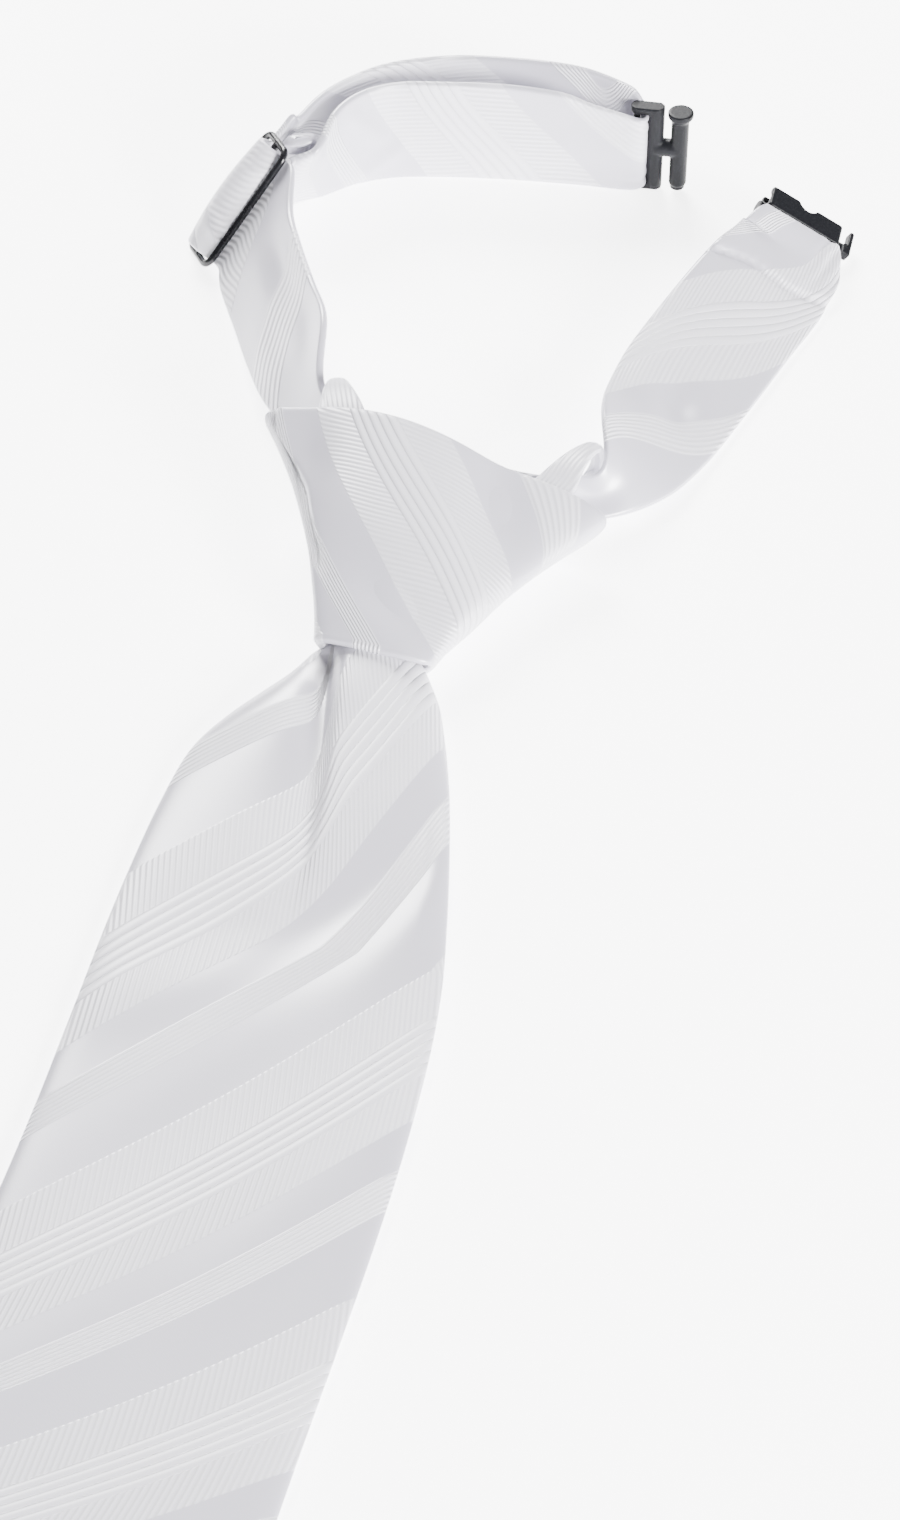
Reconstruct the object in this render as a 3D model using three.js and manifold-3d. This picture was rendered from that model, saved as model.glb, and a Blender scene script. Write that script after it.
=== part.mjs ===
// A pre-tied necktie that lies on a flat surface: blade, knot, adjustable neck strap and open snap clasp.
// Millimetres, +Z up from the surface, the blade along -Y, the neck opening at +Y.
// The origin is on the flat underside of the blade, 57 mm below the knot.
import * as THREE from "three";
import { mergeVertices } from "three/addons/utils/BufferGeometryUtils.js";
import Module from "manifold-3d";

const wasm = await Module();
wasm.setup();

// Driving dimensions

const GAP = 0.3; // clearance between neighbouring pieces
const STRAP_WIDTH = 26;
const STRAP_THICK = 1.8;
const BLADE_THICK = 3;
const BLADE_HALF_WIDTH = 38; // at the corners of the point
const BLADE_CORNER_Y = -320;
const BLADE_TIP_Y = -358;
const WRAP_THICK = 2.2;
const TURN_THICK = 2;
const WIRE = 1.7; // slider wire diameter
const SLIDER_LENGTH = 30.5; // between the centres of the end wires
const SLIDER_SPACING = 6; // from the middle bar to a long side
const CLASP_LENGTH = 22; // over the flanges of a clasp half
const FLANGE_THICK = 1.7;
const FLANGE_WIDTH = 3.5;
const FLANGE_LIP = 1.8; // how far a flange of the T clasp reaches past the middle of its column
const STRAP_BAR = 1.6; // diameter of the bar that the cloth is folded round
const BAR_REACH = 4.4; // from the strap bar to the column of the T clasp
const COLUMN_DIAMETER = 3.5;
const CONNECTOR_DIAMETER = 3.8; // from the column to the pin
const PIN_DIAMETER = 3.3;
const PIN_HEAD = 5.3;
const PIN_REACH = 5.8; // from the column to the pin
const PIN_FOOT_Z = 0.5;
const PIN_BODY_Z = 1.6;
const PIN_NECK_Z = 18.6; // where the pin widens into its head
const PIN_HEAD_Z = 20;
const CHANNEL_BORE = 4; // inner width of the channel
const CHANNEL_WALL = 0.9;
const CHANNEL_REACH = 5.7; // from the strap bar to the middle of the channel
const CHANNEL_SLOT = 2.9; // the opening along the channel's outer side
const NOTCH_RADIUS = 2.6; // where the pin's connector passes through the channel's wall
const HOOK_THICK = 1.1;
const HOOK_WIDTH = 2.4;

// Materials

const silk = new THREE.MeshStandardMaterial({ color: 0xe9e8ef, roughness: 0.42, metalness: 0 });
const plastic = new THREE.MeshStandardMaterial({ color: 0x2c2e32, roughness: 0.4, metalness: 0 });
const blackWire = new THREE.MeshStandardMaterial({ color: 0x0b0c0e, roughness: 0.22, metalness: 0.3 });

// Helpers

const vec = (x, y, z) => new THREE.Vector3(x, y, z);

// Catmull-Rom value at t between b and c.
function spline(a, b, c, d, t) {
  const even = 2 * b + (c - a) * t + (2 * a - 5 * b + 4 * c - d) * t * t;
  return 0.5 * (even + (3 * b - a - 3 * c + d) * t * t * t);
}

// Rows of named numbers, resampled with steps rows in each span.
function smoothRows(rows, steps, closed = false) {
  const count = rows.length;
  const at = (i) => rows[closed ? (i + count) % count : Math.min(Math.max(i, 0), count - 1)];
  const spans = closed ? count : count - 1;
  const result = [];
  for (let i = 0; i < spans; i++) {
    for (let k = 0; k < steps; k++) {
      const row = {};
      for (const key of Object.keys(rows[i])) {
        row[key] = spline(at(i - 1)[key], at(i)[key], at(i + 1)[key], at(i + 2)[key], k / steps);
      }
      result.push(row);
    }
  }
  if (!closed) result.push({ ...rows[count - 1] });
  return result;
}

// Six times the volume inside a triangle mesh, negative when its faces point inwards.
function signedVolume(points, triangles) {
  return triangles.reduce((sum, [a, b, c]) => {
    return sum + points[a].dot(points[b].clone().cross(points[c]));
  }, 0);
}

function meshFrom(points, triangles) {
  const outward = signedVolume(points, triangles) > 0;
  const geometry = new THREE.BufferGeometry();
  geometry.setAttribute("position", new THREE.Float32BufferAttribute(points.flatMap((p) => p.toArray()), 3));
  geometry.setIndex(triangles.flatMap(([a, b, c]) => (outward ? [a, b, c] : [a, c, b])));
  return geometry;
}

// Joins rings of equally many points. A closed loop of rings has no caps.
function loft(rings, closedLoop = false) {
  const sides = rings[0].length;
  const points = rings.flat();
  const triangles = [];
  const last = closedLoop ? rings.length : rings.length - 1;
  for (let r = 0; r < last; r++) {
    for (let s = 0; s < sides; s++) {
      const a = r * sides + s;
      const b = r * sides + ((s + 1) % sides);
      const c = ((r + 1) % rings.length) * sides + s;
      const d = ((r + 1) % rings.length) * sides + ((s + 1) % sides);
      triangles.push([a, b, c], [b, d, c]);
    }
  }
  if (!closedLoop) {
    const end = (rings.length - 1) * sides;
    for (const [start, turned] of [[0, true], [end, false]]) {
      const middle = points.length;
      const ring = points.slice(start, start + sides);
      points.push(ring.reduce((sum, p) => sum.add(p), vec(0, 0, 0)).divideScalar(sides));
      for (let s = 0; s < sides; s++) {
        const pair = [start + s, start + ((s + 1) % sides)];
        triangles.push(turned ? [pair[1], pair[0], middle] : [pair[0], pair[1], middle]);
      }
    }
  }
  return meshFrom(points, triangles);
}

// A geometry as a solid, and back.
function solid(geometry) {
  const bare = geometry.index ? geometry.toNonIndexed() : geometry.clone();
  bare.deleteAttribute("normal");
  bare.deleteAttribute("uv");
  const merged = mergeVertices(bare, 1e-4);
  return new wasm.Manifold(new wasm.Mesh({
    numProp: 3,
    vertProperties: merged.attributes.position.array,
    triVerts: new Uint32Array(merged.index.array),
  }));
}

function geometryOf(body) {
  const mesh = body.getMesh();
  const geometry = new THREE.BufferGeometry();
  geometry.setAttribute("position", new THREE.BufferAttribute(mesh.vertProperties, 3));
  geometry.setIndex(new THREE.BufferAttribute(mesh.triVerts, 1));
  return geometry;
}

function joined(geometries) {
  return geometryOf(geometries.map(solid).reduce((sum, part) => sum.add(part)));
}

function cut(geometry, cutters) {
  return geometryOf(cutters.map(solid).reduce((rest, cutter) => rest.subtract(cutter), solid(geometry)));
}

function named(name, geometry, material) {
  const mesh = new THREE.Mesh(geometry, material);
  mesh.name = name;
  geometry.computeVertexNormals();
  return mesh;
}

// Folded cloth strips

// The outline of a flat strip with rounded edges, as [across, out] pairs.
function stripOutline(width, thick) {
  const edge = thick / 2;
  const flat = width / 2 - edge;
  const bend = edge * Math.SQRT1_2;
  const half = [[-flat, edge], [0, edge * 1.06], [flat, edge], [flat + bend, bend], [flat + edge, 0]];
  const back = [[flat + bend, -bend], [flat, -edge], [0, -edge * 1.06], [-flat, -edge]];
  return [...half, ...back, [-flat - bend, -bend], [-flat - edge, 0], [-flat - bend, bend]];
}

// Stations hold a centre (x, y, z), a width direction (wx, wy, wz), a width and a thickness.
function strip(stations, steps) {
  const rows = smoothRows(stations, steps);
  const centres = rows.map((row) => vec(row.x, row.y, row.z));
  const rings = rows.map((row, i) => {
    const before = centres[Math.max(i - 1, 0)];
    const after = centres[Math.min(i + 1, rows.length - 1)];
    const across = vec(row.wx, row.wy, row.wz).normalize();
    const out = across.clone().cross(after.clone().sub(before)).normalize();
    return stripOutline(row.width, row.thick).map(([a, o]) => {
      return centres[i].clone().addScaledVector(across, a).addScaledVector(out, o);
    });
  });
  return loft(rings);
}

// A station of a strap that stands on its lower edge and leans inwards.
// lift is the height of that edge over the surface and lean the angle from upright, towards the side (sx, sy).
function standing({ x, y, lift, lean, width, thick = STRAP_THICK }, sx, sy) {
  const angle = THREE.MathUtils.degToRad(lean);
  const reach = width / 2 - thick / 2;
  return {
    x,
    y,
    z: lift + thick / 2 + reach * Math.cos(angle),
    wx: sx * Math.sin(angle),
    wy: sy * Math.sin(angle),
    wz: Math.cos(angle),
    width,
    thick,
  };
}

// Rows of a standing strap as stations. The inner side is to the right of travel when turn is 1.
function standingRun(rows, turn) {
  return rows.map((row, i) => {
    const before = rows[Math.max(i - 1, 0)];
    const after = rows[Math.min(i + 1, rows.length - 1)];
    const length = Math.hypot(after.x - before.x, after.y - before.y);
    const sx = (turn * (after.y - before.y)) / length;
    const sy = (-turn * (after.x - before.x)) / length;
    return standing(row, sx, sy);
  });
}

// Where the cloth goes round a bar or a wire, as stations in a local frame of unit vectors.
function localStation(frame, along, out, width, thick) {
  const centre = frame.origin.clone().addScaledVector(frame.along, along).addScaledVector(frame.out, out);
  const { x, y, z } = centre;
  return { x, y, z, wx: frame.across.x, wy: frame.across.y, wz: frame.across.z, width, thick };
}

// Slider

const sliderFrame = (() => {
  const across = vec(0.47, 0.5, 0.726).normalize();
  const along = vec(-0.54, 0.8, -0.12);
  along.addScaledVector(across, -along.dot(across)).normalize();
  const out = across.clone().cross(along).normalize();
  return { origin: vec(-74.2, 183, 12.8), across, along, out };
})();

function wireLoop(length, width, radius, wire) {
  const corners = [[1, 1, 0], [-1, 1, 90], [-1, -1, 180], [1, -1, 270]];
  const centres = [];
  for (const [sx, sy, start] of corners) {
    for (const turn of [0, 30, 60, 90]) {
      const angle = THREE.MathUtils.degToRad(start + turn);
      const cx = sx * (width / 2 - radius);
      const cy = sy * (length / 2 - radius);
      centres.push(vec(cx + radius * Math.cos(angle), cy + radius * Math.sin(angle), 0));
    }
  }
  const rings = centres.map((centre, i) => {
    const before = centres[(i + centres.length - 1) % centres.length];
    const after = centres[(i + 1) % centres.length];
    const along = after.clone().sub(before).normalize();
    const side = vec(along.y, -along.x, 0);
    return Array.from({ length: 8 }, (_, k) => {
      const angle = (k * Math.PI) / 4;
      return centre.clone().addScaledVector(side, wire * Math.cos(angle)).add(vec(0, 0, wire * Math.sin(angle)));
    });
  });
  return loft(rings, true);
}

function slider() {
  const frame = wireLoop(SLIDER_LENGTH, 2 * SLIDER_SPACING, 2.4, WIRE / 2);
  const bar = new THREE.CylinderGeometry(WIRE / 2, WIRE / 2, SLIDER_LENGTH, 8);
  const mesh = named("slider", joined([frame, bar]), blackWire);
  const { along, across, out, origin } = sliderFrame;
  mesh.setRotationFromMatrix(new THREE.Matrix4().makeBasis(along, across, along.clone().cross(across)));
  mesh.position.copy(origin);
  return mesh;
}

// T clasp, in its own frame: the bars upright, the strap bar at the origin and the pin towards +X

const TBAR_PLACE = { x: 5.3, y: 227.7, turn: 6 };

function oval(length, width, thick) {
  const shape = new THREE.Shape();
  const straight = length / 2 - width / 2;
  shape.absarc(straight, 0, width / 2, -Math.PI / 2, Math.PI / 2, false);
  shape.absarc(-straight, 0, width / 2, Math.PI / 2, (3 * Math.PI) / 2, false);
  return new THREE.ExtrudeGeometry(shape, { depth: thick, bevelEnabled: false, curveSegments: 6 });
}

function upright(radiusTop, radiusBottom, height, x, z, sides = 14) {
  const shape = new THREE.CylinderGeometry(radiusTop, radiusBottom, height, sides);
  return shape.rotateX(Math.PI / 2).translate(x, 0, z + height / 2);
}

function tbarClasp() {
  const flangeLength = BAR_REACH + STRAP_BAR / 2 + FLANGE_LIP;
  const flangeMiddle = (BAR_REACH + FLANGE_LIP - STRAP_BAR / 2) / 2;
  const flange = () => oval(flangeLength, FLANGE_WIDTH, FLANGE_THICK);
  const top = CLASP_LENGTH - FLANGE_THICK;
  const pinX = BAR_REACH + PIN_REACH;
  const pin = PIN_DIAMETER / 2;
  const column = COLUMN_DIAMETER / 2;
  const connector = new THREE.CylinderGeometry(CONNECTOR_DIAMETER / 2, CONNECTOR_DIAMETER / 2, PIN_REACH, 12);
  const parts = [
    flange().translate(flangeMiddle, 0, 0),
    flange().translate(flangeMiddle, 0, top),
    upright(STRAP_BAR / 2, STRAP_BAR / 2, top, 0, FLANGE_THICK / 2, 8),
    upright(column, column, top, BAR_REACH, FLANGE_THICK / 2),
    connector.rotateZ(Math.PI / 2).translate(BAR_REACH + PIN_REACH / 2, 0, CLASP_LENGTH / 2),
    upright(pin, pin * 0.75, PIN_BODY_Z - PIN_FOOT_Z, pinX, PIN_FOOT_Z),
    upright(pin, pin, PIN_NECK_Z - PIN_BODY_Z, pinX, PIN_BODY_Z),
    upright(PIN_HEAD / 2, pin, PIN_HEAD_Z - PIN_NECK_Z, pinX, PIN_NECK_Z),
    upright(PIN_HEAD / 2 - 0.15, PIN_HEAD / 2, 1, pinX, PIN_HEAD_Z),
  ];
  const mesh = named("tbar_clasp", joined(parts), plastic);
  mesh.position.set(TBAR_PLACE.x, TBAR_PLACE.y, 0);
  mesh.rotation.z = THREE.MathUtils.degToRad(TBAR_PLACE.turn);
  return mesh;
}

const tbarFrame = (() => {
  const turn = THREE.MathUtils.degToRad(TBAR_PLACE.turn);
  const along = vec(Math.cos(turn), Math.sin(turn), 0);
  const out = vec(-Math.sin(turn), Math.cos(turn), 0);
  return { origin: vec(TBAR_PLACE.x, TBAR_PLACE.y, CLASP_LENGTH / 2), across: vec(0, 0, 1), along, out };
})();

// Channel clasp, in a frame along its strap bar

const channelFrame = (() => {
  const across = vec(-0.83, -0.04, 0.55).normalize();
  const along = vec(0.06, 1, 0.04);
  along.addScaledVector(across, -along.dot(across)).normalize();
  const out = across.clone().cross(along).normalize();
  return { origin: vec(46.2, 207.2, 8.2), across, along, out };
})();

function channelClasp() {
  const half = CLASP_LENGTH / 2;
  const outer = CHANNEL_BORE + 2 * CHANNEL_WALL;
  const outerX = CHANNEL_REACH + outer / 2;
  const body = new THREE.BoxGeometry(outer, CLASP_LENGTH - 2 * FLANGE_THICK, outer).translate(CHANNEL_REACH, 0, 0);
  const bore = new THREE.CylinderGeometry(CHANNEL_BORE / 2, CHANNEL_BORE / 2, CLASP_LENGTH, 14);
  const slot = new THREE.BoxGeometry(outer, CLASP_LENGTH, CHANNEL_SLOT);
  const notch = new THREE.CylinderGeometry(NOTCH_RADIUS, NOTCH_RADIUS, 2 * outer, 14);
  const channel = cut(body, [
    bore.translate(CHANNEL_REACH, 0, 0),
    slot.translate(outerX, 0, 0),
    notch.rotateX(Math.PI / 2).translate(outerX + CHANNEL_WALL, 0, 0),
  ]);
  const flange = (length) => oval(length, FLANGE_WIDTH, FLANGE_THICK).rotateX(-Math.PI / 2);
  const flangeLength = CHANNEL_REACH + 1.4;
  const parts = [
    channel,
    flange(flangeLength).translate(flangeLength / 2 - 1.2, -half, 0),
    flange(flangeLength - 1.4).translate(flangeLength / 2 - 1.9, half - FLANGE_THICK, 0),
    new THREE.CylinderGeometry(STRAP_BAR / 2, STRAP_BAR / 2, CLASP_LENGTH - FLANGE_THICK, 8),
    new THREE.BoxGeometry(2.4, 2.6, HOOK_WIDTH).translate(CHANNEL_REACH - 1.2, -half - 0.6, 0),
    new THREE.BoxGeometry(7, HOOK_THICK, HOOK_WIDTH).translate(CHANNEL_REACH + 1, -half - 1.7, 0),
    new THREE.BoxGeometry(0.9, 1, 1.6).translate(CHANNEL_REACH + 0.4, -half - 0.9, 0),
  ];
  const mesh = named("channel_clasp", joined(parts), plastic);
  const { along, across, origin } = channelFrame;
  mesh.setRotationFromMatrix(new THREE.Matrix4().makeBasis(along, across, along.clone().cross(across)));
  mesh.position.copy(origin);
  return mesh;
}

// Left strap: behind the knot, through the slider, round the T clasp's strap bar and back to the slider

const leftRows = [
  { x: -4.2, y: 111, lift: 3.6, lean: 2, width: 12 },
  { x: -14, y: 111.2, lift: 3.6, lean: 2, width: 12.6 },
  { x: -23, y: 111.6, lift: 3.7, lean: 3, width: 13 },
  { x: -31, y: 113, lift: 3.9, lean: 8, width: 14 },
  { x: -38, y: 118.4, lift: 4, lean: 18, width: 16.6 },
  { x: -44.8, y: 130, lift: 3.4, lean: 31, width: 25.2 },
  { x: -52, y: 142.5, lift: 1.6, lean: 34, width: STRAP_WIDTH },
  { x: -59.4, y: 155.8, lift: 0.6, lean: 35, width: STRAP_WIDTH },
  { x: -66, y: 168.4, lift: 0.4, lean: 39, width: STRAP_WIDTH },
];

// The strap turns back into the loop right behind the slider.
const exitRows = [
  { x: -74.4, y: 194, z: 12.2, wx: 0.47, wy: 0.27, wz: 0.84, width: 25.6 },
  { x: -72.2, y: 199, z: 12.9, wx: 0.4, wy: 0.11, wz: 0.9, width: STRAP_WIDTH },
].map((row) => ({ ...row, thick: 1.5 }));

const outerRows = [
  { x: -70, y: 203.6, lift: 0.1, lean: 24, width: STRAP_WIDTH },
  { x: -65.4, y: 209.8, lift: 0.1, lean: 14, width: STRAP_WIDTH },
  { x: -59.6, y: 216, lift: 0.1, lean: 6, width: STRAP_WIDTH },
  { x: -51, y: 223.4, lift: 0.1, lean: 1, width: STRAP_WIDTH },
  { x: -38, y: 229.6, lift: 0.1, lean: 0, width: STRAP_WIDTH },
  { x: -23, y: 232.6, lift: 0.1, lean: 0, width: STRAP_WIDTH },
  { x: -11, y: 232.6, lift: 0.1, lean: 0, width: 25 },
  { x: -2, y: 231, lift: 0.8, lean: 0, width: 21.5, thick: 1.5 },
];

const innerRows = [
  { x: -2.4, y: 225.3, lift: 0.8, lean: 0, width: 21.5, thick: 1.5 },
  { x: -11, y: 224.2, lift: 0.1, lean: 0, width: 25 },
  { x: -24, y: 222, lift: 0.1, lean: 0, width: STRAP_WIDTH },
  { x: -38, y: 219, lift: 0.1, lean: 0, width: STRAP_WIDTH },
  { x: -48, y: 216, lift: 0.1, lean: 0, width: STRAP_WIDTH },
  { x: -55.6, y: 210.6, lift: 0.1, lean: 4, width: STRAP_WIDTH },
  { x: -60.4, y: 203, lift: 0.1, lean: 12, width: STRAP_WIDTH },
  { x: -64.4, y: 195, lift: 0.8, lean: 28, width: 24 },
];

// The strap's way through the slider, over the end that is folded round the middle bar: [along, out] from the bar.
const SLIDER_PASS = [[-8.4, -2.1], [-6.2, -2.1], [-4.5, -1.5], [-3.6, 0], [-3, 1.65], [-1.8, 2.95], [0, 3.5]];
// The folded end, from the loop's side round the bar.
const SLIDER_END = [[2.4, -4.4], [0.2, -2.4], [-1.3, -1.35], [-1.85, 0], [-1.15, 1.5], [0.3, 1.84], [1.3, 1.4]];

function leftStrap() {
  const inside = SLIDER_LENGTH - WIRE; // free length of the slider's slots
  const pass = ([along, out]) => localStation(sliderFrame, along, out, inside - 2.6, 1.4);
  const wrap = ([along, out]) => localStation(sliderFrame, along, out, inside - 8, 1.3);
  const barWidth = CLASP_LENGTH - 2 * FLANGE_THICK - 2 * GAP;
  const barRound = STRAP_BAR / 2 + GAP + 0.7;
  const bar = (along, out) => localStation(tbarFrame, along, out, barWidth, 1.3);
  const away = SLIDER_PASS.slice(1, -1).reverse().map(([along, out]) => [-along, out]);
  const stations = [
    ...standingRun(leftRows, 1),
    ...SLIDER_PASS.map(pass),
    ...away.map(pass),
    ...exitRows,
    ...standingRun(outerRows, 1),
    bar(-2.6, barRound + 0.5),
    bar(0, barRound),
    bar(barRound * 0.72, barRound * 0.7),
    bar(barRound, 0),
    bar(barRound * 0.72, -barRound * 0.7),
    bar(0, -barRound),
    bar(-2.6, -barRound - 0.4),
    ...standingRun(innerRows, -1),
    ...SLIDER_END.map(wrap),
  ];
  return strip(stations, 3);
}

// Right band: behind the knot to the channel clasp, folded round its strap bar

const rightRows = [
  { x: -2.6, y: 111, lift: 3.6, lean: 6, width: 11 },
  { x: 5, y: 111, lift: 3.6, lean: 26, width: 8.6 },
  { x: 13, y: 111.4, lift: 3.4, lean: 42, width: 8.6 },
  { x: 20, y: 112.8, lift: 3.1, lean: 46, width: 9.6 },
  { x: 26.8, y: 115.6, lift: 2.9, lean: 38, width: 10.4 },
  { x: 30, y: 124, lift: 2.2, lean: 47, width: 22.6 },
  { x: 31, y: 133, lift: 1, lean: 57, width: 26.4 },
  { x: 31.9, y: 144, lift: 0.3, lean: 68, width: 28 },
  { x: 33.6, y: 156, lift: 0, lean: 71, width: 29 },
  { x: 36.8, y: 168, lift: 0, lean: 67, width: 29 },
  { x: 40.2, y: 180, lift: 0, lean: 62, width: 28.6 },
  { x: 43.2, y: 190, lift: 0, lean: 60, width: 27.4 },
  { x: 45.2, y: 197, lift: 0.2, lean: 59, width: 25.4 },
  { x: 46, y: 202.2, lift: 0.8, lean: 58, width: 21.4, thick: 1.5 },
];

function rightBand() {
  const width = CLASP_LENGTH - 2 * FLANGE_THICK - 2 * GAP;
  const round = STRAP_BAR / 2 + GAP + 0.7;
  const bar = (along, out) => localStation(channelFrame, along, out, width, 1.3);
  const stations = [
    ...standingRun(rightRows, -1),
    bar(-2.6, round + 0.3),
    bar(0, round),
    bar(round * 0.72, round * 0.7),
    bar(round, 0),
    bar(round * 0.72, -round * 0.7),
    bar(0, -round),
    bar(-3, -round - 0.3),
  ];
  return strip(stations, 3);
}

// Knot

// Fold lines round the wrap, from its lower edge (xb, yb, zb) to its upper edge (xt, yt, zt).
// bow is how far the middle of the line stands out.
const wrapRows = [
  { xb: -6, yb: 62, zb: 0, xt: -5, yt: 98, zt: 0, bow: 0 },
  { xb: -13, yb: 61.5, zb: 0, xt: -22, yt: 98, zt: 0, bow: 0 },
  { xb: -16, yb: 60, zb: 1.2, xt: -30, yt: 99.4, zt: 2, bow: -1 },
  { xb: -18, yb: 58.6, zb: 4.8, xt: -37, yt: 101.4, zt: 11, bow: -2.4 },
  { xb: -18.8, yb: 57.4, zb: 8.4, xt: -41.2, yt: 103, zt: 22.4, bow: -3 },
  { xb: -16.8, yb: 56.6, zb: 10.6, xt: -36.6, yt: 103.4, zt: 25.8, bow: -0.4 },
  { xb: -11, yb: 56, zb: 11.5, xt: -25, yt: 103.4, zt: 28.2, bow: 1.2 },
  { xb: -5, yb: 55.6, zb: 11.6, xt: -12, yt: 103.4, zt: 27.6, bow: 1.6 },
  { xb: 1, yb: 55.8, zb: 11.2, xt: 4, yt: 103.4, zt: 22.4, bow: 1.4 },
  { xb: 5.6, yb: 56.8, zb: 9.4, xt: 19.5, yt: 103.4, zt: 17, bow: 0.4 },
  { xb: 6.4, yb: 58.6, zb: 6, xt: 29.2, yt: 103.2, zt: 11.6, bow: -1.6 },
  { xb: 4.6, yb: 59.6, zb: 2.8, xt: 25.4, yt: 101.4, zt: 5, bow: -2 },
  { xb: 2.6, yb: 60.8, zb: 0.6, xt: 18, yt: 99, zt: 0.8, bow: -0.8 },
  { xb: -1, yb: 61.6, zb: 0, xt: 8, yt: 98, zt: 0, bow: 0 },
];

// The wrap's outer skin moved inwards by depth, as rings from the lower to the upper edge.
function wrapSkin(depth, levels) {
  const rows = smoothRows(wrapRows, 3, true);
  const count = rows.length;
  const point = (row, v) => {
    const middleX = THREE.MathUtils.lerp(-6, -5, v);
    const middleZ = THREE.MathUtils.lerp(5.5, 12, v);
    const x = THREE.MathUtils.lerp(row.xb, row.xt, v);
    const z = THREE.MathUtils.lerp(row.zb, row.zt, v);
    const length = Math.hypot(x - middleX, z - middleZ);
    const push = (row.bow * 4 * v * (1 - v)) / length;
    const y = THREE.MathUtils.lerp(row.yb, row.yt, v);
    return vec(x + (x - middleX) * push, y, Math.max(z + (z - middleZ) * push, 0));
  };
  return Array.from({ length: levels }, (_, level) => {
    const v = level / (levels - 1);
    const ring = rows.map((row) => point(row, v));
    return ring.map((p, i) => {
      const before = ring[(i + count - 1) % count];
      const after = ring[(i + 1) % count];
      const inward = vec(after.z - before.z, 0, before.x - after.x).normalize();
      return p.clone().addScaledVector(inward, depth);
    });
  });
}

function knotWrap() {
  const outer = wrapSkin(0, 9);
  const inner = wrapSkin(WRAP_THICK, 9);
  return loft([...outer, ...inner.reverse()], true);
}

// The folds of the knot that pass over the neck band, each from inside the wrap, over the band and back below it.
const LEFT_TURN = { wx: 0.94, wy: 0.34, wz: 0, thick: TURN_THICK };
const leftTurnRows = [
  { x: -21, y: 92, z: 17.6, width: 12 },
  { x: -24, y: 99, z: 20.7, width: 12 },
  { x: -27, y: 107, z: 23.6, width: 11.6 },
  { x: -30.4, y: 115.4, z: 22.6, width: 8.4 },
  { x: -33.4, y: 122.2, z: 17.4, width: 3.2 },
  { x: -33.8, y: 123, z: 9, width: 3.2 },
  { x: -30, y: 116, z: 2.2, width: 6.4 },
  { x: -25, y: 107, z: 2, width: 7.6 },
  { x: -20.6, y: 99, z: 4.3, width: 8.4 },
  { x: -19.6, y: 92, z: 4.9, width: 8.4 },
].map((row) => ({ ...row, ...LEFT_TURN }));

const RIGHT_TURN = { wx: 0.97, wy: -0.2, wz: 0, thick: TURN_THICK };
const rightTurnRows = [
  { x: 10, y: 92, z: 8.6, width: 8 },
  { x: 13, y: 99, z: 10.4, width: 10 },
  { x: 17, y: 107, z: 12.6, width: 10.6 },
  { x: 20.2, y: 115, z: 15.4, width: 7.6 },
  { x: 22, y: 122.2, z: 13, width: 3.2 },
  { x: 22.2, y: 123.2, z: 6.6, width: 3.2 },
  { x: 19.6, y: 116.8, z: 1.8, width: 6.4 },
  { x: 15, y: 108, z: 1.9, width: 7.6 },
  { x: 10.6, y: 99, z: 4, width: 7.6 },
  { x: 9.2, y: 92, z: 4.5, width: 6 },
].map((row) => ({ ...row, ...RIGHT_TURN }));

// Blade

// Cross-sections from inside the knot down to the point: the left and right edges, the height of the
// underside and of the top, and the depth of the dimple.
const bladeRows = [
  { y: 99, left: -13, right: 4.4, under: 4, over: 21.5, dent: 0 },
  { y: 90, left: -13.5, right: 4.6, under: 3.6, over: 19, dent: 0 },
  { y: 82, left: -14.4, right: 5, under: 3.4, over: 15, dent: 0 },
  { y: 71, left: -13.4, right: 2.8, under: 3.4, over: 11.8, dent: 0.6 },
  { y: 61.5, left: -13, right: 1.2, under: 3.1, over: 8.6, dent: 1.4 },
  { y: 55.4, left: -19.4, right: 5.8, under: 1.4, over: 9.2, dent: 3 },
  { y: 51, left: -26, right: 8.8, under: 0.4, over: 9, dent: 3.4 },
  { y: 46, left: -29.4, right: 11, under: 0, over: 8.6, dent: 3.3 },
  { y: 38, left: -32.4, right: 14, under: 0, over: 7.6, dent: 3 },
  { y: 28, left: -34.8, right: 17.3, under: 0, over: 6.4, dent: 2.2 },
  { y: 14, left: -36, right: 21.2, under: 0, over: 5.2, dent: 1.4 },
  { y: -2, left: -36.1, right: 25.2, under: 0, over: 4.2, dent: 0.7 },
  { y: -20, left: -35.6, right: 29, under: 0, over: 3.5, dent: 0.2 },
  { y: -42, left: -34.5, right: 31.5, under: 0, over: BLADE_THICK, dent: 0 },
  { y: -75, left: -33.2, right: 33, under: 0, over: BLADE_THICK, dent: 0 },
  { y: -130, left: -33, right: 33.2, under: 0, over: BLADE_THICK, dent: 0 },
  { y: -200, left: -34, right: 34.2, under: 0, over: BLADE_THICK, dent: 0 },
  { y: -265, left: -36.4, right: 36.4, under: 0, over: BLADE_THICK, dent: 0 },
];

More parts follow.
